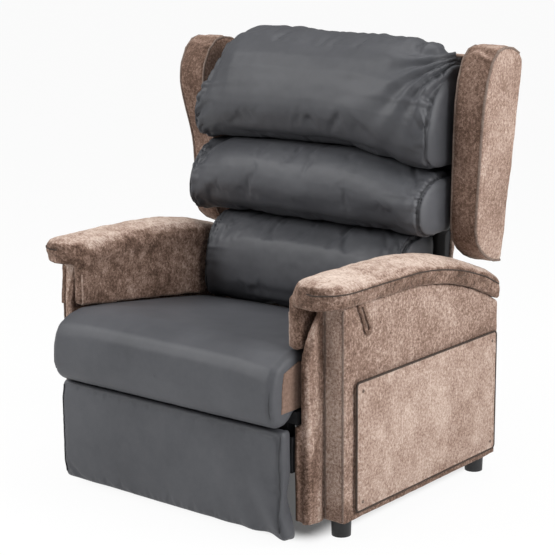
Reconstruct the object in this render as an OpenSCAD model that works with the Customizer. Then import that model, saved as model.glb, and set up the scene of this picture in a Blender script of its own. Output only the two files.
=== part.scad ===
// Patient recliner chair: two upholstered arm boxes on feet, a fixed seat,
// a reclining winged back and a legrest on a folding bar linkage.
// Millimetres, +Z up, the sitter looks along -Y, floor at z = 0.

/* [Arms] */
// outside width over the two arm boards
arm_span = 924; // [900:2:940]
// distance from the origin plane to the rear edge of the arm boards
arm_rear = 388; // [384:1:392]
// how far the seat nose stands out before the arm boards
nose_lead = 145; // [142:1:146]
// height of the flat front part of an arm board
arm_height = 575; // [568:1:578]
// radius of the falling rear part of an arm board
arm_curve_r = 960; // [900:10:1000]
// where the fall of the arm starts, before the origin plane
arm_flat = 60; // [50:1:75]
// thickness of the outer arm board
arm_panel_t = 58; // [56:1:60]
// thickness of the inner arm board
arm_inner_t = 28; // [26:1:30]
// depth of the rolled front facing
facing_depth = 58; // [50:1:60]
// width of the rolled front facing
facing_w = 33; // [28:1:33]
// height where the facing starts to narrow
facing_shoulder = 383; // [360:1:400]

/* [Arm pads] */
// width of an arm pad
pad_w = 142; // [136:1:142]
// height of the side band of an arm pad
pad_side = 36; // [34:1:40]
// rise of the padded crown over the side band
pad_crown = 32; // [28:1:34]
// overhang of the pad beyond the outer arm board
pad_over = 16; // [14:1:20]
// overhang of the pad beyond the arm front
pad_nose = 71; // [66:1:76]
// corner radius of the pad front seen from above
pad_corner = 66; // [60:1:66]
// thickness of the padded inner flap
flap_t = 36; // [30:1:38]
// front edge of the flap, behind the pad front
flap_setback = 20; // [16:1:24]
// rear edge of the flap from the origin plane
flap_rear = 172; // [165:1:180]
// free height between the flap and the seat cushion
flap_gap = 7; // [6:1:8]

/* [Side access panels] */
// rear inset of the raised side panel from the arm rear
access_rear = 17; // [15:1:24]
// height of the raised side panel
access_h = 322; // [310:1:330]
// thickness of the raised side panel
access_t = 9; // [8:1:10]
// front inset of the panel from the arm front
access_front = 39; // [34:1:42]
// height of the panel above the arm base
access_low = 19; // [16:1:22]
// button diameter
button_d = 9; // [8:1:10]
// inset of the buttons from the panel corners
button_inset = 24; // [20:1:28]

/* [Feet] */
// foot height
foot_h = 47; // [45:1:48]
// foot diameter
foot_d = 50; // [48:1:54]
// stud diameter of a foot
stud_d = 10; // [8:1:12]
// stud length inside the arm board
stud_l = 40; // [35:1:45]
// inset of the foot centre from the outer face of the arm
foot_inset = 42; // [40:1:44]
// inset of the front foot centre from the arm front
foot_front = 47; // [42:1:52]
// inset of the rear foot centre from the arm rear
foot_rear = 37; // [34:1:42]

/* [Seat] */
// height of the webbing that carries the cushion
deck_h = 326; // [320:1:332]
// thickness of the seat cushion at its front edge
seat_front_t = 138; // [134:1:140]
// thickness of the seat cushion at its rear end
seat_rear_t = 78; // [74:1:80]
// distance from the origin plane to the rounded nose
nose = 432; // [430:1:436]
// how far the nose stands out before the front seat rail
nose_reach = 86; // [84:1:90]
// how far the nose hangs below the webbing
nose_drop = 26; // [22:1:28]
// rear end of the seat cushion
seat_rear = 184; // [180:1:186]
// section height of the wooden seat rails
rail_h = 30; // [28:1:31]
// section width of the wooden seat rails
rail_w = 28; // [26:1:30]
// height of the front seat rail, which closes the gap over the legrest
front_rail_h = 84; // [76:1:84]
// thickness of the fabric side covers of the seat
cover_t = 5; // [4:0.5:6]

/* [Back] */
// height of the back hinge over the seat webbing
hinge_rise = 19; // [17:1:20]
// distance of the back hinge behind the origin plane
hinge_y = 235; // [234:1:238]
// lean of the back at rest, degrees
back_lean = 6; // [6:0.1:6.5]
// length of the back frame above its hinge
back_len = 765; // [750:1:775]
// free space between the back and each arm pad
back_gap = 5; // [4:1:8]
// thickness of the padded back core
core_t = 50; // [46:1:52]
// section of the steel back uprights
upright = 26; // [24:1:28]
// thickness of the upholstered rear cover
rear_cover_t = 14; // [12:1:15]
// outer face of the wings from the centre plane
wing_out = 484; // [480:1:488]
// thickness of a wing
wing_t = 80; // [76:1:82]
// outward splay of the inner face of a wing over its height
wing_splay_in = 0.025; // [0.015:0.005:0.03]
// outward splay of the outer face of a wing over its height
wing_splay_out = 0.06; // [0.04:0.005:0.07]
// outer diameter of the back pivot tube
pivot_tube_d = 26; // [25:1:28]
// diameter of the back pivot pins
pivot_pin_d = 18; // [16:1:20]
// length of the recline lever under the hinge
lever_r = 100; // [98:1:102]
// travel of the back, degrees
recline_travel = 40; // [36:1:40]

/* [Legrest] */
// half width of the legrest pad
legrest_half = 360; // [350:1:364]
// free height between the seat nose and the upper edge of the legrest
legrest_gap = 16; // [16:1:20]
// height of the lower edge of the legrest
legrest_low = 25; // [22:1:30]
// how far the nose stands out over the front face of the legrest
nose_over = 32; // [30:1:34]
// thickness of the legrest pad
legrest_pad_t = 34; // [32:1:35]
// thickness of the legrest board
legrest_board_t = 12; // [10:0.5:12]
// length of a long legrest bar between its end pivots
bar_l = 200; // [196:1:202]
// width of a legrest bar
bar_w = 18; // [16:0.5:18]
// thickness of a legrest bar
bar_t = 6; // [5:0.5:6]
// bar angle from the level at rest, degrees
bar_rest = 84; // [83.5:0.1:84]
// travel of the legrest bars, degrees
bar_travel = 75; // [70:1:75]
// pivot stud diameter of the bars
bar_pin_d = 10; // [8:0.5:10]
// drop of the fixed bar pivot below the seat rails
bar_drop = 26; // [25:1:27]
// distance of the legrest pivots behind the legrest board
pivot_back = 70; // [66:1:72]
// outer diameter of the legrest torque tube
torque_d = 20; // [18:0.5:20]
// diameter of the fixed pins that carry the torque tube
torque_pin_d = 12; // [11:0.5:13]
// length of the crank on the torque tube
crank_r = 80; // [76:1:82]

/* [Drives] */
// diameter of the drive rods
rod_d = 20; // [18:0.5:22]
// outer diameter of the drive tubes
drive_tube_d = 34; // [32:0.5:36]
// sideways offset of the two drives from the centre plane
drive_x = 84; // [80:1:95]
// diameter of the cross tubes
cross_d = 32; // [30:1:34]
// wall of the cross tubes
cross_wall = 2.5; // [2:0.1:3]
// thickness of the steel side plates
plate_t = 6; // [5:0.5:6.5]

/* [Fits] */
// radial clearance of a pin that turns
pin_clear = 0.08; // [0.05:0.01:0.1]
// radial clearance of a bolt or stud in its hole
bolt_clear = 0.2; // [0.1:0.05:0.3]
// free width each side of a crank pin in its fork
fork_clear = 2; // [1.8:0.1:2.4]

/* [Hidden] */
$fn = 48;
arm_x = arm_span / 2;
panel_in = arm_x - arm_panel_t;
inner_in = panel_in - arm_inner_t;
plate_in = inner_in - plate_t;
arm_front = nose - nose_lead;
arm_length = arm_front + arm_rear;
curve_y = -arm_flat;
foot_x = arm_x - foot_inset;
foot_y1 = foot_front - arm_front;
foot_y2 = arm_rear - foot_rear;
pad_out = arm_x + pad_over;
pad_in = pad_out - pad_w;
pad_front = -arm_front - pad_nose;
pad_rear = arm_rear - 10;
access_y = access_front - arm_front;
access_z = foot_h + access_low;
access_l = arm_length - access_front - access_rear;
button_x = arm_x + access_t;
soft = 0.3;

seat_front_h = deck_h + seat_front_t;
seat_rear_h = deck_h + seat_rear_t;
nose_low = deck_h - nose_drop;
seat_cover_out = plate_in - 6;
seat_half = seat_cover_out - cover_t - soft;
rail_top = deck_h - 4;
rail_low = rail_top - rail_h;
rail_front = nose_reach - nose;
rail_rear = seat_rear + 8;

bolt_d = 8;
hole_d = bolt_d + 2 * bolt_clear;
plate_bolts = [[-150, 90], [-150, rail_low - 87], [190, 90], [190, rail_low - 27]];

bar_out = plate_in - 10;
bar_in = bar_out - bar_t;
cross_out = bar_in - 2;
cross_in = cross_out - bar_t;
legrest_front = nose - nose_over;
legrest_back = legrest_pad_t + legrest_board_t - legrest_front;
legrest_top = nose_low - legrest_gap;
bar_pivot_h = rail_low - bar_drop;
pivot_f = [legrest_back + pivot_back, bar_pivot_h];
plate_front = pivot_f[0];
pivot_a = [pivot_f[0] + bar_l * cos(bar_rest), bar_pivot_h];
pivot_g = [pivot_f[0], bar_pivot_h - bar_l * sin(bar_rest)];
pivot_p = [pivot_a[0], pivot_g[1]];
pivot_x = (pivot_a + pivot_g) / 2;
pivot_t = pivot_f - bar_l / 2 * [cos(bar_rest), sin(bar_rest)];
slot_top = bar_pivot_h - bar_l * sin(bar_rest - bar_travel);
plate_low = min(foot_h + 5, pivot_p[1] - 15);
stud_bore = bar_pin_d + 2 * pin_clear;

half_swing = bar_travel / 2;
crank_pin = [pivot_a[0] + crank_r * sin(half_swing), bar_pivot_h - crank_r * cos(half_swing)];
legrest_axis = bar_pivot_h - crank_r * (1 + cos(half_swing)) / 2;
half_recline = recline_travel / 2;
hinge_h = deck_h + hinge_rise;
hinge = [hinge_y, hinge_h];
lever_pin = [hinge_y + lever_r * sin(half_recline), hinge_h - lever_r * cos(half_recline)];
recline_axis = hinge_h - lever_r * (1 + cos(half_recline)) / 2;
recline_stroke = 2 * lever_r * sin(half_recline);
fork_t = 12;
fork_len = 36;
crank_t = 8;
front_tube = [pivot_a[0] + 83, recline_axis];
rear_tube = [hinge_y + 10, legrest_axis];

back_half = wing_out - wing_t - 0.4;
back_low_half = pad_in - back_gap;
core_y = 27;
upright_y = core_y + core_t;
cover_y = upright_y + upright + 0.5;
upright_x = 312;
core_step = 300;
core_low = 70;
back_scale = back_len / 765;

velour = [0.62, 0.53, 0.47];
vinyl = [0.33, 0.34, 0.36];
black = [0.1, 0.1, 0.1];
steel = [0.55, 0.56, 0.58];
wood = [0.76, 0.6, 0.4];

// Shared shapes.

// extrudes a side view, drawn as (y, z), between two x positions
module along_x(x0, x1) {
    translate([x0, 0, 0]) rotate([90, 0, 90]) linear_extrude(x1 - x0) children();
}

// round bar along x at a side view position
module round_x(at, x0, x1, d) {
    translate([x0, at[0], at[1]]) rotate([0, 90, 0]) cylinder(d = d, h = x1 - x0);
}

// round bar along y at a height z
module round_y(x, z, y0, y1, d) {
    translate([x, y0, z]) rotate([-90, 0, 0]) cylinder(d = d, h = y1 - y0);
}

// block given by its low and high corners
module block(low, high) {
    translate(low) cube(high - low);
}

// straight strip between two side view positions
module strip(a, b, x0, x1, w) {
    run = b - a;
    translate([x0, a[0], a[1]]) rotate([atan2(run[1], run[0]), 0, 0])
        translate([0, 0, -w / 2]) cube([x1 - x0, norm(run), w]);
}

// flat bar with round ends between two side view positions
module flat_bar(a, b, x0, x1, w) {
    round_x(a, x0, x1, w);
    round_x(b, x0, x1, w);
    strip(a, b, x0, x1, w);
}

// solid through rings that all have the same number of points
module skin(rings) {
    n = len(rings[0]);
    m = len(rings);
    spots = [for (r = rings) for (p = r) p];
    walls = [for (i = [0:m - 2]) for (j = [0:n - 1]) for (k = [0:1])
        k == 0 ? [i * n + j, (i + 1) * n + (j + 1) % n, i * n + (j + 1) % n]
               : [i * n + j, (i + 1) * n + j, (i + 1) * n + (j + 1) % n]];
    first = [for (j = [0:n - 1]) j];
    last = [for (j = [0:n - 1]) m * n - 1 - j];
    polyhedron(points = spots, faces = concat([first], walls, [last]), convexity = 6);
}

// smooth closed curve through control points, s steps between two of them
function curve(p, s) = let (n = len(p)) [for (i = [0:n - 1]) for (k = [0:s - 1])
    let (a = p[(i + n - 1) % n], b = p[i], c = p[(i + 1) % n], d = p[(i + 2) % n], t = k / s)
    (2 * b + (c - a) * t + (2 * a - 5 * b + 4 * c - d) * t * t + (3 * b - a - 3 * c + d) * t * t * t) / 2];

// outline moved inwards by d
function inset(p, d) = let (n = len(p)) [for (i = [0:n - 1])
    let (run = p[(i + 1) % n] - p[(i + n - 1) % n]) p[i] + d * [-run[1], run[0]] / norm(run)];

// how far a round edge of radius r draws in, at u from the end
function edge_in(u, r) = u >= r ? 0 : r - sqrt(r * r - (r - u) * (r - u));

// outline drawn in by d on every side, towards its middle
function drawn_in(p, d) = let (ys = [for (q = p) q[0]], zs = [for (q = p) q[1]],
    c = [max(ys) + min(ys), max(zs) + min(zs)] / 2, h = [max(ys) - min(ys), max(zs) - min(zs)] / 2)
    [for (q = p) c + [(q[0] - c[0]) * (1 - d / h[0]), (q[1] - c[1]) * (1 - d / h[1])]];

// mix of two outlines
function mix(a, b, k) = [for (i = [0:len(a) - 1]) a[i] * (1 - k) + b[i] * k];

// padded board of one side view outline with round edges, its inner and outer faces splayed over a height
module padded(outline, x0, x1, r, splay = [0, 0], over = 0) {
    steps = [0.02, 0.14, 0.4, 1];
    us = concat([for (s = steps) s * r], [for (i = [3:-1:0]) x1 - x0 - steps[i] * r]);
    skin([for (u = us) [for (p = inset(outline, edge_in(min(u, x1 - x0 - u), r)))
        [x0 + u + (splay[0] + (splay[1] - splay[0]) * u / (x1 - x0)) * (p[1] - over), p[0], p[1]]]]);
}

// cushion between its middle outline and its end outline, with drawn-in ends
module cushion(middle, end, half, r) {
    steps = [0, 0.06, 0.22, 0.5, 1];
    body = half - r;
    xs = concat([for (s = steps) s * r - half], [for (b = [-0.88, -0.7, -0.4, 0, 0.4, 0.7, 0.88]) b * body],
        [for (i = [4:-1:0]) half - steps[i] * r]);
    skin([for (x = xs) let (k = pow(abs(x) / half, 5), d = 0.9 * edge_in(half - abs(x), r))
        [for (p = drawn_in(mix(middle, end, k), d)) [x, p[0], p[1]]]]);
}

// draws the right-hand piece, or its mirror image for the left
module side(left) {
    if (left) mirror([1, 0, 0]) children();
    else children();
}

// moves to the back hinge with the lean of the back
module on_back() {
    translate([0, hinge_y, hinge_h]) rotate([-back_lean, 0, 0]) children();
}

// front view outline, drawn as (x, z), between two depths
module along_y(y0, y1) {
    translate([0, y1, 0]) rotate([90, 0, 0]) linear_extrude(y1 - y0) children();
}

// Arms.

// side view under the arm pad
module arm_shape() {
    intersection() {
        translate([-arm_front, foot_h]) square([arm_length, arm_height - foot_h]);
        union() {
            translate([-arm_front - 1, 0]) square([arm_front + 1 + curve_y, arm_height]);
            translate([curve_y, arm_height - arm_curve_r]) circle(r = arm_curve_r, $fn = 360);
        }
    }
}

// height of the arm board under the pad
function arm_top(y) = y <= curve_y ? arm_height
    : arm_height - arm_curve_r + sqrt(arm_curve_r * arm_curve_r - (y - curve_y) * (y - curve_y));

// height of the side of the seat cushion
function seat_top(y) = seat_front_h + (seat_rear_h - seat_front_h) * (y + nose - 92) / (seat_rear + nose - 92);

module arm_panel(left) {
    color(velour) side(left) difference() {
        along_x(panel_in, arm_x) arm_shape();
        for (y = [foot_y1, foot_y2])
            translate([foot_x, y, foot_h - 1]) cylinder(d = stud_d + 2 * bolt_clear, h = stud_l + 2);
    }
}

module arm_panel_left() {
    arm_panel(true);
}

module arm_panel_right() {
    arm_panel(false);
}

module arm_inner_panel(left) {
    color(velour) side(left) difference() {
        along_x(inner_in, panel_in) arm_shape();
        for (b = plate_bolts) round_x(b, inner_in - 1, inner_in + 23, hole_d);
    }
}

module arm_inner_panel_left() {
    arm_inner_panel(true);
}

module arm_inner_panel_right() {
    arm_inner_panel(false);
}

// radius of an arc that leaves an upright line and draws in by a depth over a rise
function sweep(rise, depth) = (rise * rise + depth * depth) / (2 * depth);

// rolled upright strip on the front of the arm, its inner edge and its front sweeping back towards the pad
module arm_facing(left) {
    r = facing_w / 2;
    x0 = panel_in - facing_w;
    y0 = -arm_front - facing_depth;
    rise = arm_height - facing_shoulder;
    inner = sweep(rise, facing_w - 6);
    front = sweep(rise, facing_depth - 8);
    color(velour) side(left) union() {
        intersection() {
            translate([0, 0, foot_h]) linear_extrude(arm_height - foot_h) union() {
                translate([x0, y0 + r]) square([facing_w, facing_depth - r]);
                translate([x0 + r, y0 + r]) circle(r = r);
            }
            along_y(y0 - 1, 1 - arm_front) union() {
                translate([x0 - 1, 0]) square([facing_w + 2, facing_shoulder]);
                translate([x0 + inner, facing_shoulder]) circle(r = inner, $fn = 180);
            }
            along_x(x0 - 1, panel_in + 1) union() {
                translate([y0 - 1, 0]) square([facing_depth + 2, facing_shoulder]);
                translate([y0 + front, facing_shoulder]) circle(r = front, $fn = 180);
            }
        }
        block([bar_out + 2, y0 - 5, foot_h + 6], [x0 + 1, -arm_front - 6, rail_low - 4]);
        block([x0, y0 - 5, foot_h + 6], [x0 + 4, y0 + r, rail_low - 4]);
    }
}

module arm_facing_left() {
    arm_facing(true);
}

module arm_facing_right() {
    arm_facing(false);
}

// one cross section of an arm pad, drawn in on both sides by draw
function pad_ring(y, draw) = let (
    w = pad_w / 2 - draw, c = pad_in + pad_w / 2, z = arm_top(y) + soft,
    h = pad_side + 14 * max(0, y - curve_y) / (arm_rear - curve_y),
    k = (pad_side + pad_crown - h) * max(0.35, 1 - draw / 100))
    [for (p = [[4 - w, 0], [w - 4, 0], [w, 5], [w + 2, h * 0.5], [w, h - 3], [w - 6, h + k * 0.25],
        [w * 0.72, h + k * 0.72], [w * 0.36, h + k * 0.95], [0, h + k], [-w * 0.36, h + k * 0.95],
        [-w * 0.72, h + k * 0.72], [6 - w, h + k * 0.25], [-w, h - 3], [-w - 2, h * 0.5], [-w, 5]])
        [c + p[0], y, z + p[1]]];

// padded top with a crown, its round front and the flap that hangs inside
module arm_pad(left) {
    bends = [90, 72, 54, 38, 22, 8];
    front = [for (a = bends) [pad_front + pad_corner * (1 - cos(90 - a)), pad_corner * (1 - sin(90 - a))]];
    body = [for (k = [0:16]) let (y = pad_front + pad_corner + 30) [y + k / 16 * (pad_rear - 14 - y), 0]];
    ends = [[pad_rear - 4, 4], [pad_rear, 12]];
    stops = concat([for (i = [0:1]) ends[1 - i]], [for (i = [0:16]) body[16 - i]], [for (a = bends)
        [pad_front + pad_corner * (1 - sin(90 - a)), pad_corner * (1 - cos(90 - a))]]);
    y0 = pad_front + flap_setback;
    low = [for (k = [0:4]) let (y = y0 + k / 4 * (flap_rear - y0)) [y, seat_top(y) + flap_gap]];
    high = [for (k = [4:-1:0]) let (y = y0 + k / 4 * (flap_rear - y0)) [y, arm_top(y) + pad_side * 0.6]];
    color(velour) side(left) union() {
        skin([for (s = stops) pad_ring(s[0], s[1])]);
        padded(concat(low, high), pad_in + 1, pad_in + flap_t, 12);
    }
}

module arm_pad_left() {
    arm_pad(true);
}

module arm_pad_right() {
    arm_pad(false);
}

// raised board on the outside of the arm, round corners and edges
module access_panel(left) {
    r = 10;
    corners = [[0, 0], [access_l, 0], [access_l, access_h], [0, access_h]];
    centres = [[r, r], [access_l - r, r], [access_l - r, access_h - r], [r, access_h - r]];
    outline = [for (i = [0:3]) for (a = [0, 30, 60, 90])
        [access_y, access_z] + centres[i] + r * [cos(180 + 90 * i + a), sin(180 + 90 * i + a)]];
    color(velour) side(left) padded(outline, arm_x, arm_x + access_t, 4);
}

module access_panel_left() {
    access_panel(true);
}

module access_panel_right() {
    access_panel(false);
}

module access_panel_buttons() {
    color(velour) for (left = [false, true]) side(left)
        for (y = [access_y + button_inset, access_y + access_l - button_inset])
            for (z = [access_z + button_inset, access_z + access_h - button_inset])
                translate([button_x, y, z]) rotate([0, 90, 0]) cylinder(d1 = button_d, d2 = button_d * 0.7, h = 3);
}

// strap of the pad cover that hangs from the front of the left pad
module arm_tie_left() {
    x = -panel_in + 4;
    color(velour) translate([x, pad_front + 6, arm_height - 84]) rotate([0, 7, 0]) cube([9, 2.4, 84]);
}

// loop of the pad cover that hangs beside the right arm board
module arm_tie_right() {
    y = 70 - arm_front;
    color(velour) along_x(arm_x + 2, arm_x + 4.4) difference() {
        polygon([[y - 14, arm_height], [y + 6, arm_height], [y + 30, arm_height - 56],
            [y + 24, arm_height - 68], [y + 12, arm_height - 66]]);
        polygon([[y - 7, arm_height - 7], [y + 1, arm_height - 7], [y + 22, arm_height - 55],
            [y + 20, arm_height - 60], [y + 15, arm_height - 59]]);
    }
}

// Feet.

module foot(left, y) {
    color(black) side(left) difference() {
        translate([foot_x, y, 0]) cylinder(d1 = foot_d - 3, d2 = foot_d, h = foot_h);
        translate([foot_x, y, foot_h / 2]) cylinder(d = stud_d + 2 * bolt_clear, h = foot_h);
    }
}

module foot_front_left() {
    foot(true, foot_y1);
}

module foot_front_right() {
    foot(false, foot_y1);
}

module foot_rear_left() {
    foot(true, foot_y2);
}

module foot_rear_right() {
    foot(false, foot_y2);
}

module foot_studs() {
    color(steel) for (left = [false, true]) side(left) for (y = [foot_y1, foot_y2])
        translate([foot_x, y, foot_h / 2]) cylinder(d = stud_d, h = foot_h / 2 + stud_l);
}

// Chassis between the arms.

// steel plate on the inner arm board that carries every pivot of its side
module side_plate(left) {
    rear = hinge_y + 27;
    slot_w = bar_pin_d + 2 * bolt_clear;
    slot = [pivot_p, [pivot_a[0], slot_top]];
    color(steel) side(left) difference() {
        along_x(plate_in, inner_in) polygon([[plate_front, plate_low], [rear, plate_low],
            [rear, hinge_h + 27], [hinge_y - 27, hinge_h + 27], [seat_rear, rail_top - 2], [plate_front, rail_top - 2]]);
        for (b = plate_bolts) round_x(b, plate_in - 1, inner_in + 1, hole_d);
        round_x(hinge, plate_in - 1, inner_in + 1, pivot_pin_d + 2 * bolt_clear);
        round_x(pivot_a, plate_in - 1, inner_in + 1, torque_pin_d + 2 * bolt_clear);
        for (p = slot) round_x(p, plate_in - 1, inner_in + 1, slot_w);
        block([plate_in - 1, pivot_a[0] - slot_w / 2, pivot_p[1]], [inner_in + 1, pivot_a[0] + slot_w / 2, slot_top]);
    }
}

module side_plate_left() {
    side_plate(true);
}

module side_plate_right() {
    side_plate(false);
}

module side_plate_bolts() {
    color(steel) for (left = [false, true]) side(left) for (b = plate_bolts) {
        round_x(b, plate_in - 5, plate_in, 14);
        round_x(b, plate_in - 1, inner_in + 22, bolt_d);
    }
}

// fixed pins for the back tube and for the legrest torque tube
module pivot_pins() {
    color(steel) for (left = [false, true]) side(left) {
        round_x(hinge, plate_in - 40, inner_in - 0.2, pivot_pin_d);
        round_x(pivot_a, plate_in - 46, inner_in - 0.2, torque_pin_d);
    }
}

module cross_tube(at) {
    color(steel) difference() {
        round_x(at, -plate_in, plate_in, cross_d);
        round_x(at, -plate_in - 1, plate_in + 1, cross_d - 2 * cross_wall);
    }
}

module cross_tube_front() {
    cross_tube(front_tube);
}

module cross_tube_rear() {
    cross_tube(rear_tube);
}

module rear_panel() {
    half = inner_in - soft;
    color(velour) block([-half, arm_rear - 14, foot_h + 13], [half, arm_rear - 2, rail_low + 6]);
}

// Seat.

module seat_side_rails() {
    color(wood) for (left = [false, true]) side(left)
        block([plate_in - rail_w, rail_front, rail_low], [plate_in, rail_rear, rail_top]);
}

module seat_cross_rails() {
    half = plate_in - rail_w - 0.1;
    color(black) union() {
        block([-half, rail_front, rail_top - front_rail_h], [half, rail_front + rail_w, rail_top]);
        block([-half, rail_rear - rail_w, rail_low], [half, rail_rear, rail_top]);
    }
}

module seat_webbing() {
    color(black) for (x = [-275:110:275])
        block([x - 30, rail_front + 4, rail_top], [x + 30, rail_rear, deck_h - soft]);
}

// side view of the seat cushion, raised by crown over its sides
function seat_outline(crown, tuck) = let (f = seat_front_h + crown, r = seat_rear_h + crown * 0.6, n = nose - tuck,
    d = seat_rear, fall = (f - r) / (d + 300))
    [[d - 14, deck_h + 5], [d - 2, deck_h + 22], [d, r - 34], [d - 8, r - 12], [d - 32, r + 2],
     [60, r + fall * (d - 60)], [-60, r + fall * (d + 60)], [-180, r + fall * (d + 180)], [162 - nose, f - 4], [102 - nose, f],
     [60 - nose, f - 8], [22 - n, f - 28], [7 - n, f - 56], [-n, nose_low + 68], [4 - n, nose_low + 40],
     [13 - n, nose_low + 18], [28 - n, nose_low + 4], [48 - n, nose_low], [70 - nose, nose_low + 6], [87 - nose, deck_h],
     [d - 50, deck_h]];

module seat_cushion() {
    color(vinyl) cushion(seat_outline(14, 0), seat_outline(0, 3), seat_half, 8);
}

module seat_side_cover(left) {
    color(velour) side(left) padded([[36 - nose, deck_h], [seat_rear - 8, deck_h], [seat_rear - 8, seat_rear_h - 34],
        [102 - nose, seat_front_h - 22], [47 - nose, seat_front_h - 40], [40 - nose, seat_front_h - 70]],
        seat_half + soft, seat_cover_out, 2);
}

module seat_side_cover_left() {
    seat_side_cover(true);
}

module seat_side_cover_right() {
    seat_side_cover(false);
}

// Drives and control box.

// plate on the end of a drive rod with an upright slot for the crank pin
module fork(x, pin, axis, travel_low) {
    w = bar_pin_d + 2 * fork_clear;
    low = travel_low - w / 2;
    high = pin[1] + w / 2;
    difference() {
        block([x - fork_t / 2, pin[0] - fork_len / 2, low - 10], [x + fork_t / 2, pin[0] + fork_len / 2, high + 10]);
        block([x - fork_t, pin[0] - w / 2, low], [x + fork_t, pin[0] + w / 2, high]);
    }
}

module recline_motor() {
    x = drive_x;
    z = recline_axis;
    tube_end = lever_pin[0] - fork_len / 2 - recline_stroke - 10;
    color(black) difference() {
        union() {
            block([x - 30, front_tube[0] + 40, z - 36], [x + 30, 20, z + 36]);
            block([x - 12, front_tube[0] - 24, z - 24], [x + 12, front_tube[0] + 41, z + 24]);
            round_y(x, z, 19, tube_end, drive_tube_d);
            round_x([-80, z - 6], x + 29, x + 110, 58);
        }
        round_x(front_tube, x - 20, x + 20, cross_d + 2 * bolt_clear);
        round_y(x, z, 0, tube_end + 1, rod_d + 1);
    }
}

module recline_rod() {
    color(steel) union() {
        round_y(drive_x, recline_axis, lever_pin[0] - fork_len / 2 - 140, lever_pin[0] - fork_len / 2 + 1, rod_d);
        fork(drive_x, lever_pin, recline_axis, hinge_h - lever_r);
    }
}

module legrest_motor() {
    x = -drive_x;
    z = legrest_axis;
    tube_end = crank_pin[0] + fork_len / 2 + 86;
    color(black) difference() {
        union() {
            block([x - 30, 70, z - 36], [x + 30, 205, z + 36]);
            block([x - 12, 204, z - 24], [x + 12, rear_tube[0] + 24, z + 24]);
            round_y(x, z, tube_end, 71, drive_tube_d);
            round_x([130, z - 6], x - 110, x - 29, 58);
        }
        round_x(rear_tube, x - 20, x + 20, cross_d + 2 * bolt_clear);
        round_y(x, z, tube_end - 1, 80, rod_d + 1);
    }
}

module legrest_rod() {
    color(steel) union() {
        round_y(-drive_x, legrest_axis, crank_pin[0] + fork_len / 2 - 1, 50, rod_d);
        fork(-drive_x, crank_pin, legrest_axis, bar_pivot_h - crank_r);
    }
}

// box with a mains inlet and two round sockets in its rear wall
module control_box() {
    x = plate_in - 52;
    color(black) difference() {
        block([x, -70, 110], [plate_in - 0.2, 50, 190]);
        block([x + 8, 40, 122], [x + 36, 51, 144]);
        for (z = [160, 176]) round_y(x + 20, z, 42, 51, 11);
    }
}

// Back.

module back_pivot_tube() {
    color(steel) difference() {
        round_x(hinge, 6 - plate_in, plate_in - 6, pivot_tube_d);
        round_x(hinge, -plate_in, plate_in, pivot_pin_d + 2 * pin_clear);
    }
}

// lever under the tube with the pin that the recline fork moves
module back_lever() {
    x0 = drive_x + rod_d / 2 + 3;
    color(steel) difference() {
        union() {
            round_x(hinge, x0, x0 + crank_t, pivot_tube_d + 16);
            strip(hinge, lever_pin, x0 + 1, x0 + crank_t - 1, bar_pin_d + 12);
            round_x(lever_pin, x0, x0 + crank_t, bar_pin_d + 18);
            round_x(lever_pin, drive_x - fork_t / 2 - 2, x0 + 1, bar_pin_d);
        }
        round_x(hinge, x0 - 1, x0 + crank_t + 1, pivot_tube_d + 0.2);
    }
}

module back_hinge_plates() {
    x = upright_x - upright / 2;
    r = pivot_tube_d / 2 + 9;
    color(steel) for (left = [false, true]) side(left) difference() {
        on_back() along_x(x - 6, x) union() {
            circle(r = r);
            polygon([[-r, 0], [0, -r], [upright_y + upright, 20], [upright_y + upright, 130], [upright_y, 130],
                [upright_y, core_low - 4], [0, r]]);
        }
        round_x(hinge, x - 7, x + 1, pivot_tube_d + 0.2);
    }
}

module back_upright(left) {
    w = upright / 2;
    color(steel) side(left) on_back() difference() {
        block([upright_x - w, upright_y, 20], [upright_x + w, upright_y + upright, back_len - 20]);
        block([upright_x - w + 2, upright_y + 2, 19], [upright_x + w - 2, upright_y + upright - 2, back_len - 22]);
    }
}

module back_upright_left() {
    back_upright(true);
}

module back_upright_right() {
    back_upright(false);
}

module back_rail_top() {
    x = upright_x - upright / 2;
    color(steel) on_back() difference() {
        block([-x, upright_y, back_len - 60], [x, upright_y + upright, back_len - 34]);
        block([-x - 1, upright_y + 2, back_len - 58], [x + 1, upright_y + upright - 2, back_len - 36]);
    }
}

// front view of the back, narrow between the arms and wide between the wings
module back_shape(low, trim) {
    polygon([[-back_low_half, low], [back_low_half, low], [back_low_half, core_step], [back_half, core_step + 50],
        [back_half, back_len - 24 - trim], [back_half - 24, back_len - trim], [24 - back_half, back_len - trim],
        [-back_half, back_len - 24 - trim], [-back_half, core_step + 50], [-back_low_half, core_step]]);
}

module back_core() {
    color(black) on_back() along_y(core_y, upright_y) back_shape(core_low, 20);
}

// upholstered board behind the back, closed over the top of the frame
module back_rear_cover() {
    half = back_half - 24;
    color(velour) on_back() union() {
        along_y(cover_y, cover_y + rear_cover_t) back_shape(10, 0);
        block([-half, core_y, back_len - 14], [half, cover_y + 1, back_len]);
    }
}

// depth of the front face of the back core at a height
function core_front(z) = hinge_y + core_y / cos(back_lean) + (z - hinge_h) * tan(back_lean) - soft;

// side view of a back cushion from its front points and the heights where it meets the core, from the hinge
function back_outline(points, low, high) = let (front = [for (p = points) hinge + p * back_scale], n = len(front),
    rear = [for (h = [low, high]) [core_front(hinge_h + h * back_scale), hinge_h + h * back_scale]],
    ring = concat([for (i = [4:n - 1]) front[i]], rear, [for (i = [0:3]) front[i]]))
    [for (p = curve(ring, 2)) [min(p[0], core_front(p[1])), p[1]]];

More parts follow.
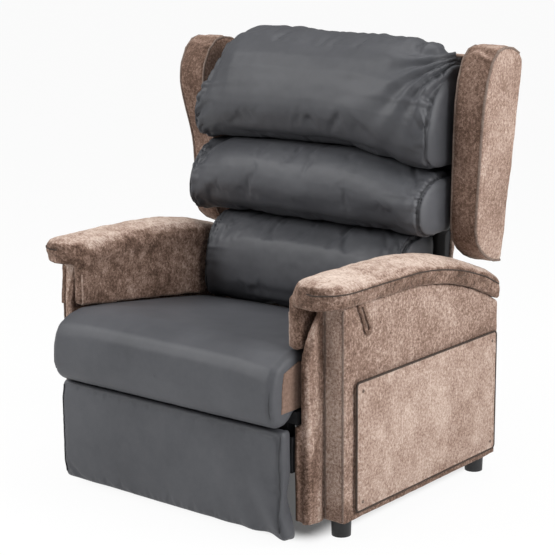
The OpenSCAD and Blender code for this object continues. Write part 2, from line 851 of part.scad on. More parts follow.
module back_cushion_upper() {
    color(vinyl) cushion(
        back_outline([[97, 795], [65, 806], [27, 800], [-22, 766], [-70, 705], [-94, 640],
            [-101, 585], [-95, 548], [-75, 527], [-37, 519], [15, 521]], 535, 753),
        back_outline([[91, 723], [65, 735], [31, 727], [-5, 699], [-41, 661], [-67, 617],
            [-78, 573], [-75, 535], [-57, 511], [-21, 502], [27, 505]], 523, 699), back_half - 14, 30);
}

module back_cushion_middle() {
    color(vinyl) cushion(
        back_outline([[57, 505], [20, 507], [-35, 503], [-77, 489], [-104, 460], [-117, 417],
            [-119, 375], [-113, 345], [-95, 325], [-63, 315], [-9, 316]], 329, 491),
        back_outline([[55, 479], [20, 485], [-25, 480], [-58, 463], [-83, 435], [-99, 400],
            [-105, 363], [-100, 333], [-82, 314], [-47, 306], [1, 309]], 319, 469), back_half - 14, 28);
}

module back_cushion_lower() {
    color(vinyl) cushion(
        back_outline([[35, 303], [-5, 305], [-49, 297], [-83, 277], [-105, 245], [-118, 200],
            [-124, 150], [-123, 109], [-113, 87], [-87, 76], [-25, 73]], 83, 287),
        back_outline([[33, 293], [-5, 295], [-49, 285], [-75, 263], [-93, 231], [-104, 190],
            [-111, 145], [-112, 107], [-103, 86], [-79, 76], [-25, 73]], 83, 277), back_low_half, 24);
}

// padded wing beside the head with a round lower front corner
module wing(left) {
    foot = [[4, 97], [14, 65], [37, 38], [70, 15], [105, 1], [137, -3], [144, 5]];
    rise = [[155, 375], [165, 515], [172, 635], [176, 727], [172, 748], [156, 767], [126, 781],
        [86, 786], [56, 779], [29, 753], [11, 705], [2, 645], [0, 565], [2, 455], [2, 385]];
    outline = concat([for (p = foot) [hinge_y + p[0], arm_height + p[1]]], [for (p = rise) hinge + p * back_scale]);
    color(velour) side(left) padded(outline, wing_out - wing_t, wing_out, 12, [wing_splay_in, wing_splay_out],
        hinge_h + core_step + 50);
}

module wing_left() {
    wing(true);
}

module wing_right() {
    wing(false);
}

// Legrest linkage.

// long bar on the fixed pin, with studs for the crossing bar and the end link
module legrest_arm(left) {
    color(steel) side(left) difference() {
        union() {
            flat_bar(pivot_a, pivot_g, bar_in, bar_out, bar_w);
            round_x(pivot_x, cross_in, bar_in + 1, bar_pin_d);
            round_x(pivot_g, cross_in, bar_in + 1, bar_pin_d);
        }
        round_x(pivot_a, bar_in - 1, bar_out + 1, torque_pin_d + 2 * pin_clear);
    }
}

module legrest_arm_left() {
    legrest_arm(true);
}

module legrest_arm_right() {
    legrest_arm(false);
}

// tube that joins the two arms, with the crank that the legrest fork moves
module legrest_torque_tube() {
    x0 = -drive_x - rod_d / 2 - 3;
    color(steel) difference() {
        union() {
            round_x(pivot_a, -bar_in, bar_in, torque_d);
            flat_bar(pivot_a, crank_pin, x0 - crank_t, x0, torque_d);
            round_x(crank_pin, x0 - 1, -drive_x + fork_t / 2 + 2, bar_pin_d);
        }
        round_x(pivot_a, -bar_out, bar_out, torque_pin_d + 2 * pin_clear);
    }
}

// crossing bar: slides in the side plate at the bottom, carries the legrest at the top
module legrest_cross_arm(left) {
    color(steel) side(left) difference() {
        union() {
            flat_bar(pivot_p, pivot_f, cross_in, cross_out, bar_w);
            round_x(pivot_f, cross_out - 1, bar_out, bar_pin_d);
            round_x(pivot_p, cross_out - 1, inner_in - 1, bar_pin_d);
        }
        round_x(pivot_x, cross_in - 1, cross_out + 1, stud_bore);
    }
}

module legrest_cross_arm_left() {
    legrest_cross_arm(true);
}

module legrest_cross_arm_right() {
    legrest_cross_arm(false);
}

// short link from the long bar to the legrest bracket
module legrest_end_link(left) {
    color(steel) side(left) difference() {
        union() {
            flat_bar(pivot_g, pivot_t, cross_in, cross_out, bar_w);
            round_x(pivot_t, cross_out - 1, bar_out, bar_pin_d);
        }
        round_x(pivot_g, cross_in - 1, cross_out + 1, stud_bore);
    }
}

module legrest_end_link_left() {
    legrest_end_link(true);
}

module legrest_end_link_right() {
    legrest_end_link(false);
}

// bracket between the linkage and the legrest board
module legrest_bracket(left) {
    color(steel) side(left) difference() {
        union() {
            flat_bar(pivot_f, pivot_t, bar_in, bar_out, bar_w);
            block([bar_in, legrest_back, pivot_t[1] + 6], [bar_out, pivot_t[0] + 4, bar_pivot_h - 6]);
            block([bar_in - 34, legrest_back, pivot_t[1] + 6], [bar_out, legrest_back + 5, bar_pivot_h - 6]);
        }
        for (p = [pivot_f, pivot_t]) round_x(p, bar_in - 1, bar_out + 1, stud_bore);
    }
}

module legrest_bracket_left() {
    legrest_bracket(true);
}

module legrest_bracket_right() {
    legrest_bracket(false);
}

module legrest_board() {
    half = legrest_half - 20;
    color(wood) block([-half, legrest_back - legrest_board_t, legrest_low + 15], [half, legrest_back, legrest_top - 14]);
}

// side view of the legrest pad with a bulge on its front
function legrest_outline(bulge) = let (f = -legrest_front, b = f + legrest_pad_t - soft, h = legrest_top - legrest_low)
    [[f + 4, legrest_low + 6], [f + 12, legrest_low], [b, legrest_low], [b, legrest_top - 2], [b - 8, legrest_top],
     [f + 12, legrest_top], [f + 4, legrest_top - 6], [f - bulge * 0.5, legrest_top - h * 0.2],
     [f - bulge, legrest_top - h * 0.5], [f - bulge * 0.5, legrest_top - h * 0.8]];

module legrest_pad() {
    color(vinyl) cushion(legrest_outline(4), legrest_outline(1), legrest_half, 12);
}

arm_panel_left();
arm_panel_right();
arm_inner_panel_left();
arm_inner_panel_right();
arm_facing_left();
arm_facing_right();
arm_pad_left();
arm_pad_right();
access_panel_left();
access_panel_right();
access_panel_buttons();
arm_tie_left();
arm_tie_right();
foot_front_left();
foot_front_right();
foot_rear_left();
foot_rear_right();
foot_studs();
side_plate_left();
side_plate_right();
side_plate_bolts();
pivot_pins();
cross_tube_front();
cross_tube_rear();
rear_panel();
seat_side_rails();
seat_cross_rails();
seat_webbing();
seat_cushion();
seat_side_cover_left();
seat_side_cover_right();
recline_motor();
legrest_motor();
control_box();
recline_rod();
legrest_rod();
back_pivot_tube();
back_lever();
back_hinge_plates();
back_upright_left();
back_upright_right();
back_rail_top();
back_core();
back_rear_cover();
back_cushion_upper();
back_cushion_middle();
back_cushion_lower();
wing_left();
wing_right();
legrest_arm_left();
legrest_arm_right();
legrest_torque_tube();
legrest_cross_arm_left();
legrest_cross_arm_right();
legrest_end_link_left();
legrest_end_link_right();
legrest_bracket_left();
legrest_bracket_right();
legrest_board();
legrest_pad();
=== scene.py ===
import math

import bpy
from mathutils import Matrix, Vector, noise


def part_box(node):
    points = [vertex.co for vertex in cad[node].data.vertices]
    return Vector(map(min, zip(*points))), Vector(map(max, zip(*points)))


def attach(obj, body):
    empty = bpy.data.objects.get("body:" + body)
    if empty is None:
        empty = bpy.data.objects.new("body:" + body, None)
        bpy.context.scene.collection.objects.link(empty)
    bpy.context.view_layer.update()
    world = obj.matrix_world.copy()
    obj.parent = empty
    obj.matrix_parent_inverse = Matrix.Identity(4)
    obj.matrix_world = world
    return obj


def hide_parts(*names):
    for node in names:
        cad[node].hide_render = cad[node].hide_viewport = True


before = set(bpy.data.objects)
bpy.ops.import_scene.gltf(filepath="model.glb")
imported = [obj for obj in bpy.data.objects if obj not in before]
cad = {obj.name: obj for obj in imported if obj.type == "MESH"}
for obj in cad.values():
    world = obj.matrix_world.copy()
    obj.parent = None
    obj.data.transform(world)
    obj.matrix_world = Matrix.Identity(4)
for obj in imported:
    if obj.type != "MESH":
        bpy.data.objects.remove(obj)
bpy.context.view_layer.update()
bpy.ops.object.select_all(action="DESELECT")


# Steel chassis: side plates, cross tubes, levers, the back frame and the legrest linkage.
# Pressed and drawn steel with a dark powder coat, bolted to the inner arm boards.
class Wire:
    """One output of a shader node. Sums and products of wires add Math nodes."""

    def __init__(self, tree, out):
        self.tree = tree
        self.out = out

    def make(self, kind, settings=None, sockets=None, out=0):
        made = self.tree.nodes.new(kind)
        for name, value in (settings or {}).items():
            if name == "stops":
                ramp = made.color_ramp
                while len(ramp.elements) < len(value):
                    ramp.elements.new(1.0)
                for element, (place, colour) in zip(ramp.elements, value):
                    element.position = place
                    element.color = (*colour, 1.0)
            else:
                setattr(made, name, value)
        for name, value in (sockets or {}).items():
            if isinstance(value, Wire):
                self.tree.links.new(value.out, made.inputs[name])
            else:
                made.inputs[name].default_value = value
        return Wire(self.tree, made.outputs[out])

    def math(self, operation, a, b):
        return self.make("ShaderNodeMath", {"operation": operation}, {0: a, 1: b})

    def __add__(self, other):
        return self.math("ADD", self, other)

    def __radd__(self, other):
        return self.math("ADD", other, self)

    def __sub__(self, other):
        return self.math("SUBTRACT", self, other)

    def __rsub__(self, other):
        return self.math("SUBTRACT", other, self)

    def __mul__(self, other):
        return self.math("MULTIPLY", self, other)

    def __rmul__(self, other):
        return self.math("MULTIPLY", other, self)

    def speckle(self, scale, detail=3.0, rough=0.6):
        return self.make("ShaderNodeTexNoise", {},
                         {"Vector": self, "Scale": scale, "Detail": detail, "Roughness": rough})

    def stretched(self, x, y, z):
        return self.make("ShaderNodeVectorMath", {"operation": "MULTIPLY"},
                         {0: self, 1: (x, y, z)})

    def feeds(self, shader, socket):
        self.tree.links.new(self.out, shader.inputs[socket])

    def colours(self, shader, *stops):
        """Dyes the surface by this wire, through stops of a level and a colour."""
        self.make("ShaderNodeValToRGB", {"stops": stops}, {"Fac": self}).feeds(shader, "Base Color")

    def embosses(self, shader, strength, depth):
        """Raises the surface by this wire, to a depth in metres."""
        self.make("ShaderNodeBump", {}, {"Strength": strength, "Distance": depth,
                                         "Height": self}).feeds(shader, "Normal")


def dye(r, g, b):
    """A colour as seen on a screen, 0 to 255, as linear light."""
    return tuple(((c / 255 + 0.055) / 1.055) ** 2.4 for c in (r, g, b))


def new_finish(name):
    """An empty finish: the material, its shader and a wire with the place on the object."""
    finish = bpy.data.materials.new(name)
    finish.use_nodes = True
    tree = finish.node_tree
    place = Wire(tree, tree.nodes.new("ShaderNodeTexCoord").outputs["Object"])
    return finish, tree.nodes["Principled BSDF"], place


def wear_finish(piece, finish):
    piece.data.materials.clear()
    piece.data.materials.append(finish)


powder_coat, shader, place = new_finish("powder_coat")
cloud = place.speckle(14, 4)
orange_peel = place.speckle(900, 2)
cloud.colours(shader, (0.3, dye(46, 46, 48)), (0.7, dye(64, 64, 67)))
(0.42 + 0.2 * cloud).feeds(shader, "Roughness")
orange_peel.embosses(shader, 0.15, 0.0004)
shader.inputs["Metallic"].default_value = 0.3

for name in ("side_plate_left", "side_plate_right", "cross_tube_front", "cross_tube_rear",
             "back_lever", "back_hinge_plates", "back_upright_left", "back_upright_right",
             "back_rail_top", "back_pivot_tube", "legrest_arm_left", "legrest_arm_right",
             "legrest_torque_tube", "legrest_cross_arm_left", "legrest_cross_arm_right",
             "legrest_end_link_left", "legrest_end_link_right", "legrest_bracket_left",
             "legrest_bracket_right"):
    wear_finish(cad[name], powder_coat)


# Bright fasteners: fixed pins, plate bolts, foot studs and the two drive rods.
# Zinc-plated and ground steel, faintly brushed along the turning direction.
bright_steel, shader, place = new_finish("bright_steel")
brushed = place.stretched(40, 900, 900).speckle(1, 3)
brushed.colours(shader, (0.3, dye(150, 152, 155)), (0.7, dye(184, 186, 188)))
(0.24 + 0.18 * brushed).feeds(shader, "Roughness")
shader.inputs["Metallic"].default_value = 0.95
for name in ("pivot_pins", "side_plate_bolts", "foot_studs", "recline_rod", "legrest_rod"):
    wear_finish(cad[name], bright_steel)


# Legrest board: plywood with a dark stain, hidden behind the pad.
# It is screwed to the brackets at the end of the linkage.
timber, shader, place = new_finish("timber")
grain = place.stretched(6, 60, 60).speckle(3, 6, 0.65)
grain.colours(shader, (0.3, dye(58, 45, 34)), (0.55, dye(92, 72, 53)), (0.75, dye(110, 88, 64)))
(0.62 + 0.2 * grain).feeds(shader, "Roughness")
grain.embosses(shader, 0.3, 0.0006)
wear_finish(cad["legrest_board"], timber)


# Black lining cloth: wraps the timber rails, the seat webbing and the padded core of the back.
# A close polyester weave, stapled to the frame.
lining, shader, place = new_finish("black_lining")
warp = place.stretched(900, 120, 900).speckle(1, 2)
weft = place.stretched(120, 900, 120).speckle(1, 2)
weave = 0.5 * warp + 0.5 * weft
weave.colours(shader, (0.35, dye(15, 15, 17)), (0.65, dye(30, 30, 33)))
(0.8 + 0.15 * weave).feeds(shader, "Roughness")
weave.embosses(shader, 0.4, 0.0005)
for name in ("seat_webbing", "seat_side_rails", "seat_cross_rails"):
    wear_finish(cad[name], lining)


# Drives, control box and feet: moulded black plastic with a fine spark-eroded texture.
# The drives hang on the cross tubes, the box on the right side plate, the feet on their studs.
moulded_black, shader, place = new_finish("moulded_black")
stipple = place.speckle(1300, 2)
cloud = place.speckle(22, 3)
cloud.colours(shader, (0.3, dye(20, 20, 21)), (0.7, dye(34, 34, 36)))
(0.38 + 0.2 * stipple).feeds(shader, "Roughness")
stipple.embosses(shader, 0.25, 0.0003)
for name in ("recline_motor", "legrest_motor", "control_box",
             "foot_front_left", "foot_front_right", "foot_rear_left", "foot_rear_right"):
    wear_finish(cad[name], moulded_black)


# Padded core of the back: foam on the steel uprights under black lining cloth.
# It shows as the dark side between the cushions and the wings.
def foam_form(name, nodes, voxel, rounds):
    """One even closed skin over these pieces of foam, with its edges rounded."""
    bpy.ops.object.select_all(action="DESELECT")
    forms = [bpy.data.objects.new(name, cad[n].data.copy()) for n in nodes]
    for form in forms:
        bpy.context.scene.collection.objects.link(form)
        form.select_set(True)
    piece = forms[0]
    bpy.context.view_layer.objects.active = piece
    if len(forms) > 1:
        bpy.ops.object.join()
    bpy.ops.object.mode_set(mode="EDIT")
    bpy.ops.mesh.select_all(action="SELECT")
    bpy.ops.mesh.remove_doubles(threshold=0.00002)
    bpy.ops.object.mode_set(mode="OBJECT")
    even_out(piece, voxel)
    soft = piece.modifiers.new("soft", "SMOOTH")
    soft.factor = 0.5
    soft.iterations = rounds
    bpy.ops.object.modifier_apply(modifier=soft.name)
    bpy.ops.object.shade_smooth()
    return piece


def even_out(piece, voxel):
    """Rebuilds the active piece with even faces."""
    even = piece.modifiers.new("even", "REMESH")
    even.mode = "VOXEL"
    even.voxel_size = voxel
    bpy.ops.object.modifier_apply(modifier=even.name)


def press(piece, depth):
    """Moves each point of a soft piece along its normal by depth(place, normal)."""
    mesh = piece.data
    ways = [(v.co.copy(), v.normal.copy()) for v in mesh.vertices]
    for v, (spot, way) in zip(mesh.vertices, ways):
        v.co = spot + way * depth(spot, way)
    mesh.update()


def dressed(piece, finish, body, slot, *nodes, fill=None):
    """Gives a piece its finish and the body it rides on, and hides the nodes it stands for."""
    wear_finish(piece, finish)
    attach(piece, body)
    if nodes:
        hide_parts(*nodes)


back_core = foam_form("back_core_cover", ["back_core"], voxel=0.007, rounds=3)
press(back_core, lambda p, n: 0.002 * noise.noise(p * 14))
dressed(back_core, lining, "backrest", "black_fabric", "back_core", fill=0.9)


# Velour of the arms, wings and panels: a crushed taupe pile with a faint upright thread grain.
# Each piece marks on its points how much darker it is drawn: painted shade and random pile tone.
def velour_finish(name, shade=1.0, contrast=1.0, sheen=0.25):
    finish, shader, place = new_finish(name)
    brushed = place.make("ShaderNodeAttribute", {"attribute_name": "brushed"}, out=2)
    cloud = place.speckle(9, 4, 0.6)
    crush = place.speckle(150, 5, 0.7)
    upright = place.stretched(230, 230, 60).speckle(1, 4, 0.65)
    pile = place.speckle(900, 2, 0.6)
    crumple = 0.4 * cloud + 0.85 * crush + 0.25 * upright + 0.6 * pile
    # The mark darkens the pile: painted shade, with random pile tone.
    tone = contrast * (crumple - 1.05) + 0.5 - 0.27 * brushed
    taupes = ((0.08, (58, 43, 35)), (0.26, (98, 76, 64)), (0.43, (145, 120, 107)),
              (0.57, (186, 165, 152)), (0.80, (218, 202, 190)))
    tone.colours(shader, *((level, dye(*(c * shade for c in taupe))) for level, taupe in taupes))
    (0.95 - 0.2 * crush).feeds(shader, "Roughness")
    nap = 0.6 * crush + 0.25 * upright + 0.15 * pile
    nap.embosses(shader, 0.3, 0.002)
    shader.inputs["Sheen Weight"].default_value = sheen
    shader.inputs["Sheen Roughness"].default_value = 0.45
    shader.inputs["Sheen Tint"].default_value = (*dye(226, 208, 192), 1.0)
    shader.inputs["Specular IOR Level"].default_value = 0.15
    return finish


def mark_tone_and_painted_shade(piece, how):
    """Marks how much darker each point is drawn, 0 to 1, by how(place, normal): painted shade and
    random pile tone.
    """
    mark = piece.data.attributes.new("brushed", "FLOAT", "POINT")
    for v in piece.data.vertices:
        mark.data[v.index].value = how(v.co, v.normal)


velour = velour_finish("taupe_velour")
velour_piping = velour_finish("taupe_piping", shade=0.7, contrast=0.5, sheen=0.05)
# A dark copy of the velour for seam cords: painted shadow in the seams.
seam_painted_shadow = velour_finish("seam_painted_shadow", shade=0.42, contrast=0.4, sheen=0.0)


# Arm boards: plywood boxes padded thinly and covered in velour, edges turned and stapled below.
# The front corners carry a sewn piping from the floor edge to the pad.
hands = ((1, "right"), (-1, "left"))


def piping(name, points, radius, closed=False):
    """A sewn cord edge along a path, as a closed tube."""
    path = bpy.data.curves.new(name, "CURVE")
    path.dimensions = "3D"
    path.bevel_depth = radius
    path.bevel_resolution = 2
    path.use_fill_caps = not closed
    line = path.splines.new("POLY")
    line.points.add(len(points) - 1)
    for knot, spot in zip(line.points, points):
        knot.co = (*spot, 1.0)
    line.use_cyclic_u = closed
    piece = bpy.data.objects.new(name, path)
    bpy.context.scene.collection.objects.link(piece)
    bpy.ops.object.select_all(action="DESELECT")
    piece.select_set(True)
    bpy.context.view_layer.objects.active = piece
    bpy.ops.object.convert(target="MESH")
    bpy.ops.object.shade_smooth()
    return bpy.context.view_layer.objects.active


def ease(a, b, t):
    """0 before a, 1 after b, smooth between."""
    t = min(1.0, max(0.0, (t - a) / (b - a)))
    return t * t * (3 - 2 * t)


def ridge(t, at, width):
    """1 where t is at a place, fading over a width to both sides."""
    return math.exp(-((t - at) / width) ** 2)


board_front = -0.2868
piping_foot, piping_step = 0.052, 0.0105
for side, hand in hands:
    panels = ["arm_panel_" + hand, "arm_inner_panel_" + hand]
    boards = foam_form("arm_board_" + hand, panels, voxel=0.006, rounds=3)

    def board_waves(p, n):
        out = n.x * side
        waves = 0.0012 * noise.noise(p * 11) + 0.0008 * noise.noise(p * 37)
        return waves * (out > -0.3) - 0.0012 * ease(0.3, 0.8, -out)

    # Painted shade: faces turned inward and a band near the foot are drawn darker, the front a
    # little lighter; noise adds random pile tone.
    def board_shade_and_tone(p, n):
        return (0.32 - 0.32 * max(0.0, -n.y) + 0.5 * max(0.0, -n.x * side)
                + 0.22 * noise.noise(p * 7) + 0.4 * ridge(p.z, 0.06, 0.03))

    press(boards, board_waves)
    mark_tone_and_painted_shade(boards, board_shade_and_tone)
    dressed(boards, velour, "chassis", "velour", *panels, fill=1.0)
    for name, x in (("outer", 0.4585), ("inner", 0.4075)):
        run = [(side * (x + 0.0007 * math.sin(9 * k)), board_front, piping_foot + piping_step * k)
               for k in range(50)]
        edge = piping("arm_piping_" + name + "_" + hand, run, 0.0026)
        dressed(edge, velour_piping, "chassis", "velour")


# Facings: a soft roll of foam in a velour sleeve, tacked up the front of each arm.
# The sleeve narrows under the pad and falls in long upright folds.
def sleeve_fold(p):
    """Height of the long upright folds, -1 to 1."""
    return noise.noise(Vector((p.x * 60, p.y * 45, p.z * 5.5)))


for side, hand in hands:
    facing = foam_form("arm_facing_cover_" + hand, ["arm_facing_" + hand], voxel=0.004, rounds=4)

    def sleeve_shape(p, n):
        inward = -n.x * side
        wrinkle = noise.noise(Vector((p.x * 90, p.y * 90, p.z * 14 + 7)))
        return (0.0042 * sleeve_fold(p) * (1 - ease(0.2, 0.6, inward))
                - 0.0015 * ease(0.3, 0.8, inward) + 0.0010 * wrinkle)

    # Painted shade: the hollows of the folds, faces turned inward and the inner edge under the pad
    # are drawn darker; noise adds random pile tone.
    def sleeve_shade_and_tone(p, n):
        shaded_inner_edge = 1 - ease(0.368, 0.374, p.x * side)
        return (0.55 - 0.75 * sleeve_fold(p) + 0.35 * max(0.0, -n.x * side)
                + 0.8 * shaded_inner_edge + 0.2 * noise.noise(p * 12))

    press(facing, sleeve_shape)
    mark_tone_and_painted_shade(facing, sleeve_shade_and_tone)
    dressed(facing, velour, "chassis", "velour", "arm_facing_" + hand, fill=0.7)


# Access panels: a padded board on the outside of each arm, edged with piping and held by buttons.
# The board is a thin slab with round corners, crowned by its wadding.
def rounded_board(name, low, high, corner):
    """A thin upright slab between two corners of a box, its outline and rim rounded."""
    bpy.ops.object.select_all(action="DESELECT")
    bpy.ops.mesh.primitive_cube_add(size=1, location=[(a + b) / 2 for a, b in zip(low, high)],
                                    scale=[b - a for a, b in zip(low, high)])
    piece = bpy.context.object
    piece.name = name
    bpy.ops.object.transform_apply(location=True, rotation=True, scale=True)
    bpy.ops.object.mode_set(mode="EDIT")
    bpy.ops.mesh.select_mode(type="EDGE")
    bpy.ops.mesh.select_all(action="DESELECT")
    bpy.ops.object.mode_set(mode="OBJECT")
    for e in piece.data.edges:
        a, b = (piece.data.vertices[i].co for i in e.vertices)
        e.select = abs(a.y - b.y) < 1e-5 and abs(a.z - b.z) < 1e-5
    bpy.ops.object.mode_set(mode="EDIT")
    bpy.ops.mesh.bevel(offset=corner, segments=5)
    bpy.ops.object.mode_set(mode="OBJECT")
    rim = piece.modifiers.new("rim", "BEVEL")
    rim.width = 0.0035
    rim.segments = 3
    rim.limit_method = "ANGLE"
    bpy.ops.object.modifier_apply(modifier=rim.name)
    even_out(piece, 0.004)
    bpy.ops.object.shade_smooth()
    return piece


panel_velour = velour_finish("panel_velour", shade=1.0, contrast=0.85)
cord_x, cord_inset, cord_bend = 0.4692, 0.012, 0.0105
for side, hand in hands:
    low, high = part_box("access_panel_" + hand)
    panel = rounded_board("access_board_" + hand, low, high, 0.010)
    mid = (low + high) / 2
    half = (high - low) / 2

    def wadding(p, n):
        rim = min(half.y - abs(p.y - mid.y), half.z - abs(p.z - mid.z))
        crown = 0.0028 * ease(0.0, 0.05, rim) - 0.0022 * ridge(rim, 0.011, 0.004)
        return max(0.0, n.x * side) * (crown + 0.0010 * noise.noise(p * 16))

    press(panel, wadding)
    mark_tone_and_painted_shade(panel, lambda p, n: 0.12 * noise.noise(p * 8) + 0.2 * noise.noise(p * 30) + 0.01)
    dressed(panel, panel_velour, "chassis", "velour", "access_panel_" + hand, fill=0.9)
    ring = []
    for cy, cz, start in ((-1, -1, 180), (1, -1, 270), (1, 1, 0), (-1, 1, 90)):
        for k in range(7):
            a = math.radians(start + 15 * k)
            ring.append((side * cord_x,
                         mid.y + cy * (half.y - cord_inset) + cord_bend * math.cos(a),
                         mid.z + cz * (half.z - cord_inset) + cord_bend * math.sin(a)))
    # The cord round the panel is a real piping; its dark colour is painted shadow of the seam.
    edge = piping("access_piping_" + hand, ring, 0.0030, closed=True)
    dressed(edge, seam_painted_shadow, "chassis", "velour")
wear_finish(cad["access_panel_buttons"], velour_piping)


# Arm pads: thick foam on the arm top, boxed with a side band and a flap that hangs inside.
# The top is sewn to the band with piping, and the cover puckers where it goes round the front.
arm_top, arm_crest, arm_arc = 0.575, -0.060, 0.960


def arm_height(y):
    """Height of the arm board under the pad, flat in front and falling on a long curve."""
    if y <= arm_crest:
        return arm_top
    return arm_top - arm_arc + math.sqrt(arm_arc ** 2 - (y - arm_crest) ** 2)


pad_cord = velour_finish("pad_cord", shade=1.0, contrast=0.6)
seam_rise = 0.038
turn_x, turn_y = 0.407, -0.292
for side, hand in hands:
    pad = foam_form("arm_pad_cover_" + hand, ["arm_pad_" + hand], voxel=0.005, rounds=3)

    def pad_cloth(p, n):
        rise = p.z - arm_height(p.y)
        band = (1 - abs(n.z)) * (p.x * side > 0.40 or p.y < -0.30)
        seam = ridge(rise, 0.036, 0.005) * band
        gather = seam * (0.5 + 0.5 * noise.noise(Vector((p.x * 120, p.y * 120, 3))))
        ripple = noise.noise(Vector((p.x * 70, p.y * 70, p.z * 12)))
        pucker = ridge(rise, 0.020, 0.016) * band * ripple
        crease = 0.0020 * noise.noise(p * 18) + 0.0014 * noise.noise(p * 48)
        return crease - 0.0026 * gather + 0.0026 * pucker

    press(pad, pad_cloth)
    for v, n in [(v, v.normal.copy()) for v in pad.data.vertices]:
        front = ease(0.28, 0.33, -v.co.y)
        outside = ease(0.37, 0.41, v.co.x * side)
        shoulder = max(0.0, 4 * n.z * (1 - n.z))
        boxed = (0.011 - 0.004 * front) * shoulder * outside * (1 - ease(0.31, 0.345, v.co.y))
        lift = 0.8 * front
        v.co += Vector((n.x * boxed, n.y * boxed, n.z * boxed * lift))
    pad.data.update()

    # Painted light and shade: the top is drawn lighter than the band and the front a little darker;
    # noise adds random pile tone.
    def pad_shade_and_tone(p, n):
        top = ease(0.4, 0.9, n.z)
        inner = max(0.0, -n.x * side)
        return (0.74 - 0.92 * top - 0.08 * inner + 0.05 * max(0.0, -n.y)
                + 0.25 * noise.noise(p * 9) + 0.45 * noise.noise(p * 42))

    mark_tone_and_painted_shade(pad, pad_shade_and_tone)
    dressed(pad, velour, "chassis", "velour", "arm_pad_" + hand, fill=0.8)
    skin = [v.co.copy() for v in pad.data.vertices]
    corner = []
    for k in range(14):
        z = 0.443 + 0.0085 * k
        level = [p for p in skin if abs(p.z - z) < 0.004 and p.x * side < 0.37 and p.y < -0.2]
        if level:
            corner.append(min(level, key=lambda p: p.y + p.x * side))
    edge = piping("flap_piping_" + hand, corner, 0.0020)
    dressed(edge, pad_cord, "chassis", "velour")
    rim = [p for p in skin
           if abs(p.z - arm_height(p.y) - seam_rise) < 0.004 and p.x * side > 0.37]
    welt = []
    for k in range(33):
        y = 0.362 - 0.02025 * k
        welt.append((max((p.x * side for p in rim if abs(p.y - y) < 0.006), default=0.478), y))
    spots = [Vector((p.x * side - turn_x, p.y - turn_y)) for p in rim]
    for k in range(1, 16):
        a = 0.105 * k
        way = Vector((math.cos(a), -math.sin(a)))
        near = [q for q in spots if abs(q.x * way.y - q.y * way.x) < 0.006]
        reach = max((q.dot(way) for q in near), default=0.066)
        welt.append((turn_x + reach * way.x, turn_y + reach * way.y))
    # The welt is a real cord in the dark seam finish: painted shadow along the seam.
    edge = piping("pad_welt_" + hand,
                  [(side * x, y, arm_height(y) + seam_rise) for x, y in welt], 0.0018)
    dressed(edge, seam_painted_shadow, "chassis", "velour")


# Pad ties: short straps of the cover cloth, sewn under the front of each pad.
# The right one is a loop that falls against the arm, the left one a single tail.
for hand in ("right", "left"):
    tie = foam_form("pad_tie_" + hand, ["arm_tie_" + hand], voxel=0.0012, rounds=2)
    press(tie, lambda p, n: 0.0012 + 0.0009 * noise.noise(p * 70))
    low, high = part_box("arm_tie_" + hand)
    mid_y = (low.y + high.y) / 2
    wider, longer = 1.35, 1.2
    for v in tie.data.vertices:
        v.co.y = mid_y + wider * (v.co.y - mid_y)
        v.co.z = high.z + longer * (v.co.z - high.z)
    mark_tone_and_painted_shade(tie, lambda p, n: 0.75 + 0.3 * noise.noise(p * 50))
    dressed(tie, velour, "chassis", "velour", "arm_tie_" + hand)


# Lower rear panel and the seat's side covers: velour stretched over thin board.
# They close the chassis behind and beside the seat.
rear_panel = foam_form("rear_panel_cover", ["rear_panel"], voxel=0.006, rounds=2)
press(rear_panel, lambda p, n: 0.0010 * noise.noise(p * 12))
dressed(rear_panel, velour, "chassis", "velour", "rear_panel", fill=1.0)
seat_cloth = velour_finish("seat_side_cloth", shade=0.95, contrast=0.35)
for hand in ("right", "left"):
    side_cover = foam_form("seat_side_cloth_" + hand, ["seat_side_cover_" + hand],
                           voxel=0.0026, rounds=2)
    press(side_cover, lambda p, n: 0.0006 * noise.noise(p * 24))
    mark_tone_and_painted_shade(side_cover, lambda p, n: 0.5)
    dressed(side_cover, seat_cloth, "chassis", "velour", "seat_side_cover_" + hand, fill=1.0)


# Grey vinyl of the seat, back and legrest: a soft coated cloth with a low sheen.
# Its grain is a fine pebble, and it creases in long shallow lines.
# The sewn seams are darker, and the head cushion's copy of the vinyl is a little darker as painted
# shade.
def vinyl_finish(name, shade=1.0):
    finish, shader, place = new_finish(name)
    cloud = place.speckle(5, 3)
    pebble = place.make("ShaderNodeTexVoronoi", {"feature": "F1"},
                        {"Vector": place, "Scale": 820.0})
    crease = place.speckle(70, 5, 0.6)
    tone = 0.75 * cloud + 0.25 * crease
    greys = ((0.35, (71, 72, 76)), (0.65, (83, 84, 88)))
    tone.colours(shader, *((level, dye(*(c * shade for c in grey))) for level, grey in greys))
    (0.44 + 0.10 * crease + 0.05 * pebble).feeds(shader, "Roughness")
    height = 0.55 * pebble + 0.45 * crease
    height.embosses(shader, 0.16, 0.0006)
    shader.inputs["Specular IOR Level"].default_value = 0.32
    return finish


